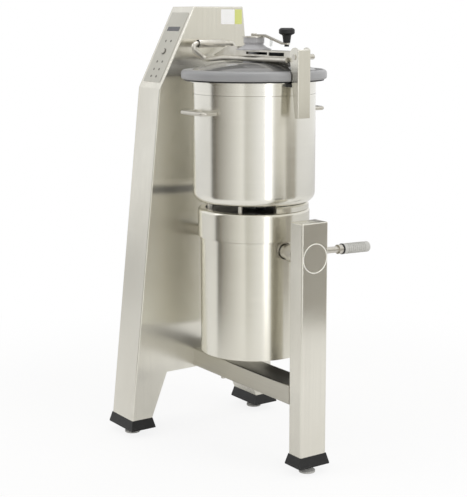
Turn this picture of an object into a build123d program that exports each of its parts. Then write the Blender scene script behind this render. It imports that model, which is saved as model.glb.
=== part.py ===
from build123d import *
import math
import os

# Floor-standing tilting vertical cutter mixer, in millimetres.
# The sizes below are taken about the bowl's own axis, with X from the control column to the post,
# Y from the operator's side to the back and Z up from the floor.

# Stand
column_outer_x = -411.0
column_inner_x = -278.0
column_wall = 2.0
column_edge_radius = 4.0
leg_base_z = 58.0
front_leg_y = -288.0
back_leg_y = 286.0
leg_depth = 75.0
bend_y = -170.0
bend_z = 1141.0
column_top_z = 1400.0
column_top_front_y = -36.0
column_top_back_y = 155.0
arch_z = 205.0
arch_front_y = -154.0
arch_back_y = 152.0
tube_wall = 3.0
tube_corner = 5.0
post_inner_x = 251.0
post_width = 60.0
post_depth = 96.0
post_top_z = 766.0
post_cap_rise = 5.0
beam_bottom_z = 210.0
beam_height = 60.0
foot_base_z = 25.0
foot_flare = 8.0
foot_lip = 0.8
pad_radius = 25.0
pad_height = 12.0
stud_radius = 6.0
stud_engagement = 22.0

# Tilt pivot
pivot_z = 665.0
pivot_shaft_radius = 20.0
running_clearance = 0.05
seat_clearance = 0.3
post_bearing_radius = 43.5
bearing_chamfer = 1.5
column_bearing_radius = 36.0
column_flange_radius = 48.0
column_flange_thickness = 7.0
pivot_hole_gap = 3.0
column_bearing_depth = 44.0
boss_radius = 22.5
boss_reach = 28.0
saddle_depth = 38.0
saddle_half_width = 28.0
lever_x = 214.0
lever_hub_radius = 30.0
lever_hub_width = 26.0
lever_rod_radius = 10.0
lever_reach = 286.0
lever_grip_radius = 16.5
lever_grip_length = 104.0
lever_collar_radius = 14.5
lever_collar_length = 17.0
lever_droop = 1.6
lever_rib_count = 9
lever_rib_depth = 1.2

# Motor unit
housing_radius = 166.5
housing_wall = 3.0
housing_bottom_z = 327.5
housing_top_z = 766.0
band_thickness = 8.0
band_bottom_z = 695.0
band_top_z = 782.0
band_shoulder = 9.0
band_lip_inset = 15.5
top_plate_thickness = 8.0
top_plate_recess = 8.0
base_plate_recess = 10.0
base_plate_thickness = 4.0
vent_count = 20
vent_inner_radius = 70.0
vent_rim_margin = 31.5
vent_width = 9.0
frame_inset = 38.5
frame_wall = 8.0
frame_bottom_z = 400.0
frame_top_z = 630.0
shield_thickness = 12.0
stator_depth = 45.0
stator_length = 170.0
rotor_gap = 1.0
shaft_radius = 25.0
upper_bearing_radius = 45.0
lower_bearing_radius = 40.0
bearing_width = 18.0
seal_radius = 38.0
seal_height = 6.0
fan_inset = 56.5
fan_blade_count = 8
fan_height = 26.0

# Bowl
bowl_radius = 190.5
bowl_wall = 2.5
bowl_bottom_z = 803.0
bowl_corner_radius = 30.0
bowl_rim_z = 1175.0
bowl_flange_width = 9.5
bowl_flange_thickness = 3.0
fill_line_z = 1136.0
fill_line_width = 1.4
fill_line_depth = 0.5
bowl_tube_radius = 33.0
bowl_tube_wall = 4.0
bowl_tube_top_z = 957.0
bowl_tube_foot_radius = 14.0
bowl_handle_rod = 6.0
bowl_handle_width = 120.0
bowl_handle_reach = 38.0
bowl_handle_z = 1083.0
lug_width = 12.0
lug_angles = (-106.0, -52.0, 100.0, 150.0)
lug_depth = 22.0
lug_inset = 5.0
rest_gap = 1.5
rest_overlap = 6.0
rest_round = 5.0
rest_start = -12.0
rest_sweep = 66.0

# Drive end and cutter
spindle_radius = 20.0
hex_flats = 30.0
hex_bottom_z = 961.0
hex_height = 28.0
socket_clearance = 0.15
cutter_base_radius = 46.0
cutter_top_radius = 40.0
cutter_bottom_gap = 6.0
cutter_top_z = 1004.0
cutter_bore_clearance = 2.0
cutter_cap_height = 24.0
cutter_cap_radius = 24.0
blade_tip_gap = 18.0
cutter_shoulder = 130.0
blade_thickness = 4.0
blade_bevel = 1.8
blade_first_z = 8.0
blade_step_z = 44.0
blade_count = 3

# Lid
lid_overhang = 33.5
lid_rim_bottom_z = 1179.5
lid_rim_height = 29.0
lid_rim_inset = 10.5
lid_rim_rounding = 12.0
seal_outset = 25.0
seal_inset = 6.5
dome_wall = 4.0
dome_inset = 0.5
dome_shoulder_inset = 40.5
dome_shoulder_rise = 13.0
dome_crown_inset = 95.5
dome_top_z = 1230.0
hub_stem_radius = 17.0
hub_flange_radius = 34.0
hub_flange_thickness = 2.5
hub_base_radius = 54.0
hub_base_lip = 2.5
hub_neck_radius = 28.5
hub_neck_z = 1284.0
hub_collar_height = 15.0
hub_top_radius = 32.0
hub_top_z = 1304.5
hub_plate_radius = 35.0
hub_plate_thickness = 4.0
crank_shaft_radius = 8.0
crank_length = 120.0
crank_angle = 19.6
crank_level_length = 37.0
crank_drop = 25.0
crank_width = 16.0
crank_thickness = 5.0
crank_lift = 0.5
crank_stub_radius = 6.0
tab_width = 11.0
tab_place = 62.0
tab_clearance = 1.0
tab_thickness = 2.5
knob_radius = 24.0
knob_foot_radius = 10.5
knob_waist_radius = 13.5
knob_cap_height = 20.0
knob_height = 44.5
knob_pin_radius = 5.0
wiper_inset = 32.5
wiper_depth = 16.0
wiper_thickness = 5.0
wiper_gap = 2.0

# Lid hinge and handle
hinge_reach = 42.5
hinge_z = 1251.0
bracket_reach = 61.5
bracket_width = 46.0
bracket_wall = 3.0
bracket_bottom_z = 1073.0
bracket_top_z = 1278.0
bracket_inner_drop = 22.0
bracket_outer_drop = 8.0
bracket_top_depth = 41.0
bracket_bottom_depth = 14.0
bracket_corner = 3.0
hinge_pin_radius = 7.0
hinge_pin_head_radius = 8.0
hinge_pin_head = 25.0
mount_block_height = 9.0
mount_block_overlap = 6.0
notch_half_width = 26.0
notch_clearance = 3.0
arm_half_width = 19.0
arm_wall = 3.0
arm_bottom_z = 1238.0
arm_top_z = 1267.0
arm_step_back = 33.0
arm_eye_radius = 11.0
arm_slots = ((-15.0, 94.0, 8.0), (102.0, 178.0, 10.5))
arm_nose_x = -190.0
arm_nose_z = 1250.0
arm_ramp_x = -114.0
arm_ramp_z = 1277.0
arm_shelf_x = -62.0
handle_tube_radius = 8.0
handle_z = 1241.0
handle_left_z = 1233.0
handle_splay = 9.0
handle_end_back = 27.0
handle_left_x = -216.0
handle_grip_x = -222.0
handle_grip_z = 1283.0
handle_flare_y = 80.0
handle_knee_y = 74.0
handle_knee_z = 1262.0
handle_bend_radius = 12.0
handle_foot_radius = 18.0
handle_sweep_radius = 60.0
grip_radius = 11.5
grip_length = 100.0
grip_shift = -10.0

# Control panel
panel_width = 104.0
panel_top_gap = 22.0
panel_length = 248.0
panel_thickness = 1.2
panel_corner = 5.0
display_width = 72.0
display_height = 15.0
display_drop = 81.0
display_thickness = 1.0
key_radius = 4.0
key_height = 0.7
key_spacing = 31.0
key_drops = (124.5, 198.0, 225.0, 250.0)
button_drop = 162.0
button_radius = 7.5
button_height = 2.5
button_stem_radius = 5.0
button_stem_length = 16.0
button_travel = 2.0
bezel_width = 3.0
board_width = 90.0
board_length = 190.0
board_gap = 30.0
board_thickness = 1.6
spacer_radius = 4.0

# Back and inside of the column
cover_width = 96.0
cover_top_drop = 180.0
cover_bottom_gap = 348.4
cover_thickness = 1.5
cover_overlap = 10.0
screw_head_radius = 5.0
screw_head_rounding = 1.2
screw_head_height = 2.5
screw_radius = 2.5
screw_length = 8.0
screw_rows = 4
nut_strip_thickness = 3.0
inverter_width = 90.0
inverter_depth = 120.0
inverter_height = 240.0
inverter_z = 350.0
fin_count = 8
fin_depth = 14.0
gland_radius = 13.0
gland_bore_radius = 7.0
gland_z = 300.0
bond_bolt_x = -120.0
bond_bolt_radius = 6.0
bond_bolt_height = 8.0

# Worked-out places
column_width = column_inner_x - column_outer_x
column_mid_x = (column_outer_x + column_inner_x) / 2
column_back_length = math.hypot(back_leg_y - column_top_back_y, column_top_z - leg_base_z)
cover_length = column_back_length - cover_top_drop - cover_bottom_gap
post_outer_x = post_inner_x + post_width
band_radius = housing_radius + band_thickness
band_lip_radius = housing_radius - band_lip_inset
vent_outer_radius = housing_radius - vent_rim_margin
frame_radius = housing_radius - frame_inset
fan_radius = housing_radius - fan_inset
stator_bore_radius = frame_radius - frame_wall - stator_depth
lug_radius = band_lip_radius - lug_inset
bowl_inner_radius = bowl_radius - bowl_wall
bowl_flange_radius = bowl_radius + bowl_flange_width
blade_tip_radius = bowl_inner_radius - blade_tip_gap
lid_rim_radius = bowl_radius + lid_overhang
lid_rim_inner_radius = bowl_radius - lid_rim_inset
seal_outer_radius = bowl_radius + seal_outset
seal_inner_radius = bowl_radius - seal_inset
dome_outer_radius = bowl_radius - dome_inset
dome_shoulder_radius = bowl_radius - dome_shoulder_inset
dome_crown_radius = bowl_radius - dome_crown_inset
wiper_reach = bowl_radius - wiper_inset
hinge_x = bowl_radius + hinge_reach
bracket_outer_x = bowl_radius + bracket_reach
arm_step_x = hinge_x - arm_step_back
handle_end_x = hinge_x - handle_end_back
lid_rim_top_z = lid_rim_bottom_z + lid_rim_height
top_plate_top_z = band_top_z - top_plate_recess
cutter_bottom_z = bowl_bottom_z + bowl_wall + cutter_bottom_gap
hex_top_z = hex_bottom_z + hex_height
origin_x = (column_outer_x + post_outer_x) / 2
origin_y = (front_leg_y + back_leg_y) / 2


def block(x0, x1, y0, y1, z0, z1):
    return Pos((x0 + x1) / 2, (y0 + y1) / 2, (z0 + z1) / 2) * Box(x1 - x0, y1 - y0, z1 - z0)


def disc(radius, z0, z1):
    return Pos(0, 0, (z0 + z1) / 2) * Cylinder(radius, z1 - z0)


def ring(outer, inner, z0, z1):
    return disc(outer, z0, z1) - disc(inner, z0 - 1, z1 + 1)


def bar_x(radius, x0, x1, y=0.0, z=0.0):
    return Pos((x0 + x1) / 2, y, z) * Rot(0, 90, 0) * Cylinder(radius, x1 - x0)


def bar_y(radius, y0, y1, x=0.0, z=0.0):
    return Pos(x, (y0 + y1) / 2, z) * Rot(90, 0, 0) * Cylinder(radius, y1 - y0)


def turned(profile):
    """Full turn about the bowl's axis of an outline drawn in radius and height."""
    return revolve(Plane.XZ * make_face(profile), Axis.Z)


def side_extrusion(points, x0, x1):
    """Outline drawn in Y and Z, carried along X."""
    return extrude(Plane.YZ.offset(x0) * make_face(Polyline(*points, close=True)), x1 - x0)


def front_extrusion(profile, y0, y1):
    """Outline drawn in X and Z, carried along Y."""
    return extrude(Plane.XZ.offset(-y0) * make_face(profile), -(y1 - y0))


def sloped_plane(y_low, z_low, y_high, z_high, outward):
    """Plane on a sloped face of the column; its own Y runs up the slope."""
    rise = math.hypot(y_high - y_low, z_high - z_low)
    across = (z_high - z_low) / rise
    along = (y_high - y_low) / rise
    normal = (0, outward * across, -outward * along)
    origin = (column_mid_x, y_high, z_high)
    return Plane(origin=origin, x_dir=(-outward, 0, 0), z_dir=normal)


panel_plane = sloped_plane(bend_y, bend_z, column_top_front_y, column_top_z, -1)
back_plane = sloped_plane(back_leg_y, leg_base_z, column_top_back_y, column_top_z, 1)


def column_outline():
    return [
        (front_leg_y, leg_base_z),
        (bend_y, bend_z),
        (column_top_front_y, column_top_z),
        (column_top_back_y, column_top_z),
        (back_leg_y, leg_base_z),
        (back_leg_y - leg_depth, leg_base_z),
        (arch_back_y, arch_z),
        (arch_front_y, arch_z),
        (front_leg_y + leg_depth, leg_base_z),
    ]


def column():
    """Folded sheet column, hollow, with the arch between its two legs."""
    body = side_extrusion(column_outline(), column_outer_x, column_inner_x)
    folds = [edge for edge in body.edges() if edge.center().Z > arch_z + 1 and abs(
        edge.center().X - column_mid_x) > column_width / 2 - 1]
    body = fillet(folds, column_edge_radius)
    inner_face = offset(make_face(Polyline(*column_outline(), close=True)), -column_wall,
                        kind=Kind.INTERSECTION)
    inner_start = column_outer_x + column_wall
    body -= extrude(Plane.YZ.offset(inner_start) * inner_face, column_width - 2 * column_wall)
    body -= bar_x(pivot_shaft_radius + seat_clearance, column_inner_x - 5, column_inner_x + 1, 0, pivot_z)
    button_hole = Pos(0, -button_drop, 0) * Cylinder(button_stem_radius + 1.5, 4 * column_wall)
    body -= panel_plane * button_hole
    window = Pos(0, -cover_top_drop - cover_length / 2, 0) * Box(
        cover_width - 2 * cover_overlap, cover_length - 2 * cover_overlap, 4 * column_wall)
    body -= back_plane * window
    gland_hole = Pos(0, -gland_drop(), 0) * Cylinder(gland_bore_radius + 3, 4 * column_wall)
    body -= back_plane * gland_hole
    body += nut_strip(-1) + nut_strip(1)
    for x, y in screw_places():
        body -= back_plane * Pos(x, y, 0) * Cylinder(screw_radius + 0.1, 2 * screw_length)
    return body


def gland_drop():
    """Distance of the cable gland down the back face from the column's top edge."""
    return (column_top_z - gland_z) / (column_top_z - leg_base_z) * column_back_length


def rear_cover():
    mid_drop = cover_top_drop + cover_length / 2
    plate = Pos(0, -mid_drop, cover_thickness / 2) * Box(cover_width, cover_length, cover_thickness)
    plate = fillet(plate.edges().filter_by(Axis.Z), 4)
    for x, y in screw_places():
        plate -= Pos(x, y, 0) * Cylinder(screw_radius + 0.2, 4 * cover_thickness)
    return back_plane * plate


def screw_places():
    """Two columns of cover screws, on the cover's own margins."""
    edge = cover_overlap / 2
    x = cover_width / 2 - edge
    pitch = (cover_length - 2 * edge) / (screw_rows - 1)
    first = cover_top_drop + edge
    return [(side * x, -first - row * pitch) for side in (-1, 1) for row in range(screw_rows)]


def cover_screws():
    screws = []
    for x, y in screw_places():
        head = Pos(x, y, cover_thickness + screw_head_height / 2) * Cylinder(
            screw_head_radius, screw_head_height)
        head = fillet(head.edges().sort_by(Axis.Z)[-1], screw_head_rounding)
        shank = Pos(x, y, cover_thickness - screw_length / 2) * Cylinder(screw_radius, screw_length)
        screws.append(back_plane * (head + shank))
    return Compound(children=screws)


def nut_strip(side):
    """Weld strip behind the back wall that the cover's screws run into."""
    x = side * (cover_width / 2 - cover_overlap / 2)
    mid_drop = cover_top_drop + cover_length / 2
    z = -column_wall - nut_strip_thickness / 2
    return back_plane * Pos(x, -mid_drop, z) * Box(cover_overlap, cover_length, nut_strip_thickness)


def control_panel():
    mid = panel_top_gap + panel_length / 2
    plate = Pos(0, -mid, panel_thickness / 2) * Box(panel_width, panel_length, panel_thickness)
    plate = fillet(plate.edges().filter_by(Axis.Z), panel_corner)
    plate -= Pos(0, -display_drop, panel_thickness) * Box(
        display_width + 0.4, display_height + 0.4, panel_thickness)
    plate -= Pos(0, -button_drop, 0) * Cylinder(button_stem_radius + 1.5, 4 * panel_thickness)
    return panel_plane * plate


def display_window():
    z = panel_thickness / 2 + display_thickness / 2
    glass = Pos(0, -display_drop, z) * Box(display_width, display_height, display_thickness)
    return panel_plane * glass


def keypad():
    """Low domed spots of the membrane keys, two to a row."""
    keys = []
    for drop in key_drops:
        for side in (-1, 1):
            key = Pos(side * key_spacing / 2, -drop, panel_thickness + key_height / 2) * Cylinder(
                key_radius, key_height)
            keys.append(panel_plane * fillet(key.edges().sort_by(Axis.Z)[-1], key_height * 0.6))
    return Compound(children=keys)


def button_bezel():
    outer = button_radius + bezel_width
    z = panel_thickness
    body = Pos(0, -button_drop, z + button_height / 2) * Cylinder(outer, button_height)
    body = fillet(body.edges().sort_by(Axis.Z)[-1], 1)
    body -= Pos(0, -button_drop, z) * Cylinder(button_radius + seat_clearance, 3 * button_height)
    return panel_plane * body


def start_button():
    """Push button: its cap stands in the bezel and its stem passes the panel."""
    cap_low = panel_thickness + button_travel + seat_clearance
    cap = Pos(0, -button_drop, cap_low + button_height / 2) * Cylinder(button_radius, button_height)
    cap = fillet(cap.edges().sort_by(Axis.Z)[-1], 0.8)
    stem_mid = cap_low - button_stem_length / 2
    stem = Pos(0, -button_drop, stem_mid) * Cylinder(button_stem_radius, button_stem_length)
    return panel_plane * (cap + stem)


def control_board():
    """Circuit board on four spacers behind the panel, with the button's switch body."""
    mid = panel_top_gap + panel_length / 2
    z = -column_wall - board_gap
    board = Pos(0, -mid, z) * Box(board_width, board_length, board_thickness)
    for x in (-1, 1):
        for y in (-1, 1):
            place = Pos(x * (board_width / 2 - 6), -mid + y * (board_length / 2 - 6),
                        -column_wall - board_gap / 2)
            board += place * Cylinder(spacer_radius, board_gap)
    stem_end = panel_thickness + button_travel + seat_clearance - button_stem_length
    switch_height = board_gap + stem_end + column_wall - button_travel - 1
    switch_mid = z + switch_height / 2
    board += Pos(0, -button_drop, switch_mid) * Box(14, 14, switch_height)
    return panel_plane * board


def inverter():
    """Motor drive unit fixed to the outer side wall, with its cooling fins."""
    x0 = column_outer_x + column_wall
    x1 = x0 + inverter_width
    body = block(x0, x1, -inverter_depth / 2, inverter_depth / 2, inverter_z,
                 inverter_z + inverter_height)
    body = fillet(body.edges().filter_by(Axis.Z).sort_by(Axis.X)[-2:], 4)
    pitch = inverter_depth / fin_count
    for i in range(fin_count):
        y = -inverter_depth / 2 + (i + 0.5) * pitch
        body -= block(x1 - fin_depth, x1 + 1, y - pitch / 4, y + pitch / 4, inverter_z - 1,
                      inverter_z + inverter_height + 1)
    return body


def cable_gland():
    base = Pos(0, -gland_drop(), 0)
    body = base * Pos(0, 0, 4) * extrude(RegularPolygon(gland_radius, 6), 8, both=False)
    body += base * Pos(0, 0, 2) * Cylinder(gland_radius + 2, 4)
    body += base * Pos(0, 0, 16) * Cylinder(gland_radius - 2, 8)
    body += base * Pos(0, 0, -6) * Cylinder(gland_bore_radius + 2.7, 12.2)
    body -= base * Cylinder(gland_bore_radius, 6 * gland_radius)
    return back_plane * body


def rect_tube(x0, x1, y0, y1, z0, z1, axis):
    """Rectangular steel tube with rounded corners along the given axis."""
    solid = block(x0, x1, y0, y1, z0, z1)
    solid = fillet(solid.edges().filter_by(axis), tube_corner)
    grow = {Axis.X: (1, -tube_wall, -tube_wall), Axis.Z: (-tube_wall, -tube_wall, 1)}[axis]
    core = block(x0 - grow[0], x1 + grow[0], y0 - grow[1], y1 + grow[1], z0 - grow[2], z1 + grow[2])
    core = fillet(core.edges().filter_by(axis), tube_corner - tube_wall)
    return solid - core


def crossbeam():
    half = post_depth / 2
    return rect_tube(column_inner_x, post_inner_x, -half, half, beam_bottom_z,
                     beam_bottom_z + beam_height, Axis.X)


def bonding_bolt():
    """Hexagon bolt for the bonding wire, under the crossbeam."""
    y = -post_depth / 2 + 14
    place = Pos(bond_bolt_x, y, beam_bottom_z)
    head = place * extrude(RegularPolygon(bond_bolt_radius * 1.3, 6), -bond_bolt_height)
    washer = place * Pos(0, 0, -0.8) * Cylinder(bond_bolt_radius * 1.6, 1.6)
    return head + washer


def post():
    half = post_depth / 2
    body = rect_tube(post_inner_x, post_outer_x, -half, half, leg_base_z, post_top_z, Axis.Z)
    return body - bar_x(post_bearing_radius + seat_clearance, post_inner_x - 1, post_outer_x + 1,
                        0, pivot_z)


def post_cap():
    half = post_depth / 2
    plate = block(post_inner_x, post_outer_x, -half, half, post_top_z, post_top_z + post_cap_rise)
    plate = fillet(plate.edges().filter_by(Axis.Z), tube_corner)
    return fillet(plate.faces().sort_by(Axis.Z)[-1].edges(), post_cap_rise * 0.7)


def foot(x0, x1, y0, y1):
    """Moulded foot cap, wider at its base, with the blind hole for its levelling stud."""
    middle = Pos((x0 + x1) / 2, (y0 + y1) / 2, 0)
    top = Rectangle(x1 - x0 + 2 * foot_lip, y1 - y0 + 2 * foot_lip)
    base = Rectangle(x1 - x0 + 2 * foot_flare, y1 - y0 + 2 * foot_flare)
    body = loft([middle * Pos(0, 0, foot_base_z + 4) * base, middle * Pos(0, 0, leg_base_z) * top])
    body += middle * Pos(0, 0, foot_base_z) * extrude(base, 4)
    hole = middle * Pos(0, 0, foot_base_z) * extrude(Circle(stud_radius + 0.1), stud_engagement)
    return body - hole


def foot_footprints():
    """Leg outlines that the feet stand under: column front, column rear, post."""
    half = post_depth / 2
    return [
        (column_outer_x, column_inner_x, front_leg_y, front_leg_y + leg_depth),
        (column_outer_x, column_inner_x, back_leg_y - leg_depth, back_leg_y),
        (post_inner_x, post_outer_x, -half, half),
    ]


def foot_centres():
    return [((x0 + x1) / 2, (y0 + y1) / 2) for x0, x1, y0, y1 in foot_footprints()]


def levelling_studs():
    top = foot_base_z + stud_engagement - 1
    studs = []
    for x, y in foot_centres():
        stud = Pos(x, y, (pad_height + top) / 2) * Cylinder(stud_radius, top - pad_height)
        nut = Pos(x, y, foot_base_z - 8) * extrude(RegularPolygon(stud_radius * 1.8, 6), 7.7)
        studs.append(stud + nut)
    return Compound(children=studs)


def levelling_pads():
    pads = []
    for x, y in foot_centres():
        pad = Pos(x, y, 0) * turned(Polyline(
            (0, 0), (pad_radius, 0), (pad_radius, pad_height * 0.45), (stud_radius * 1.8, pad_height),
            (0, pad_height), close=True))
        pads.append(pad)
    return Compound(children=pads)


def post_bearing():
    """Turned block through the post, flush with its outer face, bored for the pivot shaft."""
    body = bar_x(post_bearing_radius, post_inner_x, post_outer_x, 0, pivot_z)
    rim = [edge for edge in body.edges().filter_by(GeomType.CIRCLE) if edge.center().X > post_outer_x - 1]
    body = chamfer(rim, bearing_chamfer)
    return body - bar_x(pivot_shaft_radius + running_clearance, post_inner_x - 1, post_outer_x - 8, 0, pivot_z)


def column_bearing():
    """Flanged block behind the column's inner wall, bored for the pivot shaft."""
    face = column_inner_x - column_wall
    back = face - column_bearing_depth
    body = bar_x(column_bearing_radius, back, face, 0, pivot_z)
    body += bar_x(column_flange_radius, face - column_flange_thickness, face, 0, pivot_z)
    return body - bar_x(pivot_shaft_radius + running_clearance, back + 6, face + 1, 0, pivot_z)


def motor_housing():
    inner = housing_radius - housing_wall
    body = ring(housing_radius, inner, housing_bottom_z, housing_top_z)
    body += ring(inner + 0.5, inner - 6, housing_bottom_z + base_plate_recess + base_plate_thickness,
                 housing_bottom_z + base_plate_recess + base_plate_thickness + 3)
    for x0, x1 in ((-housing_radius - 1, -inner + 1), (inner - 1, housing_radius + 1)):
        body -= bar_x(boss_radius + pivot_hole_gap, x0 - 1, x1 + 1, 0, pivot_z)
    return body


def motor_band():
    """Upper jacket with its rounded shoulder and inward lip."""
    inner = housing_radius + seat_clearance
    shoulder_z = band_top_z - band_shoulder
    lines = Polyline((band_radius, shoulder_z), (band_radius, band_bottom_z), (inner, band_bottom_z),
                     (inner, housing_top_z + seat_clearance), (band_lip_radius, housing_top_z + seat_clearance),
                     (band_lip_radius, band_top_z), (band_radius - band_shoulder, band_top_z))
    corner = RadiusArc((band_radius - band_shoulder, band_top_z), (band_radius, shoulder_z), band_shoulder)
    profile = Curve() + [lines, corner]
    return revolve(Plane.XZ * make_face(profile), Axis.Z)


def motor_top_plate():
    low = top_plate_top_z - top_plate_thickness
    plate = ring(band_lip_radius - seat_clearance, seal_radius + seat_clearance, low, top_plate_top_z)
    plate += ring(housing_radius - 4, band_lip_radius - 8, low - 4, low)
    return plate


def motor_base_plate():
    """Dark base plate with radial air slots."""
    z0 = housing_bottom_z + base_plate_recess
    plate = disc(housing_radius - housing_wall - seat_clearance, z0, z0 + base_plate_thickness)
    length = vent_outer_radius - vent_inner_radius
    middle = (vent_outer_radius + vent_inner_radius) / 2
    for i in range(vent_count):
        slot = Rot(0, 0, i * 360 / vent_count) * Pos(middle, 0, z0 - 1) * extrude(
            SlotOverall(length, vent_width), base_plate_thickness + 2)
        plate -= slot
    return plate


def motor_frame():
    """Cast motor frame with its mounting flange and the upper bearing seat."""
    top = frame_top_z + shield_thickness
    body = ring(frame_radius, frame_radius - frame_wall, frame_bottom_z, frame_top_z + 1)
    body += disc(housing_radius - housing_wall - seat_clearance, frame_top_z, top)
    body += disc(upper_bearing_radius + 12, top, top + 8)
    body -= disc(upper_bearing_radius, top + 8 - bearing_width, top + 9)
    body -= disc(shaft_radius + 4, frame_top_z - 1, top)
    return body


def lower_shield():
    body = ring(frame_radius, lower_bearing_radius, frame_bottom_z - shield_thickness, frame_bottom_z)
    body += ring(lower_bearing_radius + 10, lower_bearing_radius,
                 frame_bottom_z - bearing_width - 4, frame_bottom_z - shield_thickness)
    body += ring(lower_bearing_radius + 1, shaft_radius + 4, frame_bottom_z - bearing_width - 4,
                 frame_bottom_z - bearing_width)
    return body


def stator():
    middle = (frame_bottom_z + frame_top_z) / 2
    low = middle - stator_length / 2
    high = middle + stator_length / 2
    core = ring(frame_radius - frame_wall - 0.05, stator_bore_radius, low, high)
    winding = ring(stator_bore_radius + 34, stator_bore_radius + 6, low - 18, high + 18)
    return core + winding


def shaft_bearings():
    top = frame_top_z + shield_thickness + 8
    upper = ring(upper_bearing_radius - 0.05, shaft_radius + 0.05, top - bearing_width, top)
    lower = ring(lower_bearing_radius - 0.05, shaft_radius + 0.05, frame_bottom_z - bearing_width,
                 frame_bottom_z)
    return Compound(children=[upper, lower])


def shaft_seal():
    body = ring(seal_radius, shaft_radius + running_clearance, top_plate_top_z - top_plate_thickness,
                top_plate_top_z + seal_height)
    return fillet(body.edges().sort_by(Axis.Z)[-2:], 2)


def trunnion(x_outer, side):
    """Pivot shaft with its thicker root and the saddle that bolts it to the motor frame's flange."""
    saddle_outer = housing_radius - housing_wall - 6
    x0, x1 = sorted((side * (saddle_outer - saddle_depth), side * x_outer))
    shaft = bar_x(pivot_shaft_radius, x0, x1, 0, pivot_z)
    r0, r1 = sorted((side * (saddle_outer - saddle_depth), side * (housing_radius + boss_reach)))
    shaft += bar_x(boss_radius, r0, r1, 0, pivot_z)
    s0, s1 = sorted((side * (saddle_outer - saddle_depth), side * saddle_outer))
    half = saddle_half_width
    saddle = block(s0, s1, -half, half, frame_top_z + shield_thickness, pivot_z + half)
    return shaft + fillet(saddle.edges().filter_by(Axis.X).sort_by(Axis.Z)[-2:], half / 2)


def column_trunnion():
    return trunnion(-column_inner_x + column_wall + column_bearing_depth - 8, -1)


def post_trunnion():
    return trunnion(post_outer_x - 10, 1)


def drooped(shape):
    """Turned a little about the pivot, as the lever hangs."""
    pivot = Pos(0, 0, pivot_z)
    return pivot * Rot(-lever_droop, 0, 0) * pivot.inverse() * shape


def tilt_lever():
    """Clamping hub on the pivot shaft with the round lever bar."""
    x0 = lever_x - lever_hub_width / 2
    x1 = lever_x + lever_hub_width / 2
    hub = bar_x(lever_hub_radius, x0, x1, 0, pivot_z)
    hub = fillet(hub.edges().filter_by(GeomType.CIRCLE), 2)
    rod_end = lever_reach - 4
    rod = bar_y(lever_rod_radius, lever_hub_radius - 6, rod_end, lever_x, pivot_z)
    collar_end = lever_reach - lever_grip_length - 1
    rod += bar_y(lever_collar_radius, collar_end - lever_collar_length, collar_end, lever_x, pivot_z)
    return drooped(hub + rod) - bar_x(pivot_shaft_radius + running_clearance, x0 - 1, x1 + 1, 0, pivot_z)


def lever_grip():
    """Ribbed moulded grip over the lever bar."""
    start = lever_reach - lever_grip_length
    grip = bar_y(lever_grip_radius, start, lever_reach, lever_x, pivot_z)
    grip = fillet(grip.edges().filter_by(GeomType.CIRCLE), 4)
    pitch = (lever_grip_length - 30) / lever_rib_count
    for i in range(lever_rib_count):
        y = start + 15 + i * pitch
        groove = bar_y(lever_grip_radius + 1, y, y + pitch * 0.35, lever_x, pivot_z)
        groove -= bar_y(lever_grip_radius - lever_rib_depth, y - 1, y + pitch, lever_x, pivot_z)
        grip -= groove
    return drooped(grip - bar_y(lever_rod_radius + 0.1, start - 1, lever_reach - 3.9, lever_x, pivot_z))


def bowl_lugs():
    """Four rest blocks that carry the bowl's base."""
    lugs = []
    for angle in lug_angles:
        lug = block(lug_radius - lug_depth / 2, lug_radius + lug_depth / 2 - 7, -lug_width / 2,
                    lug_width / 2, top_plate_top_z, bowl_bottom_z)
        lugs.append(Rot(0, 0, angle) * fillet(lug.edges().filter_by(Axis.Z), 3))
    return Compound(children=lugs)


def bowl_rest():
    """Raised wall on the motor's rim, on the post side, that steadies the bowl's foot."""
    low = band_top_z
    high = bowl_bottom_z - rest_gap
    inner = band_lip_radius + seat_clearance
    outer = band_radius - band_shoulder + rest_overlap
    profile = Polyline((inner, low), (outer, low), (outer, high - rest_round), (outer - rest_round, high),
                       (inner, high), close=True)
    wall = revolve(Plane.XZ * make_face(profile), Axis.Z, rest_sweep)
    return Rot(0, 0, rest_start) * wall


def drive_shaft():
    """Motor shaft, spindle through the bowl's tube and the hexagon drive end."""
    low = frame_bottom_z - bearing_width - 24
    body = disc(shaft_radius, low, top_plate_top_z + seal_height + 2)
    body += disc(spindle_radius, top_plate_top_z, hex_bottom_z)
    hexagon = RegularPolygon(hex_flats / 2, 6, major_radius=False)
    body += Pos(0, 0, hex_bottom_z - 1) * extrude(hexagon, hex_height + 1)
    return chamfer(body.faces().sort_by(Axis.Z)[-1].edges(), 2)


def motor_rotor():
    middle = (frame_bottom_z + frame_top_z) / 2
    half = stator_length / 2
    return ring(stator_bore_radius - rotor_gap, shaft_radius + running_clearance, middle - half,
                middle + half)


def cooling_fan():
    """Radial fan under the motor."""
    low = frame_bottom_z - bearing_width - 22
    high = low + 12
    body = ring(shaft_radius + 10, shaft_radius + running_clearance, low, high + 4)
    body += ring(fan_radius, shaft_radius + 5, low, low + 2.5)
    for i in range(fan_blade_count):
        vane = block(shaft_radius + 8, fan_radius, -1.5, 1.5, low - fan_height + 12, low + 1)
        body += Rot(0, 0, i * 360 / fan_blade_count) * vane
    return body


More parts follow.
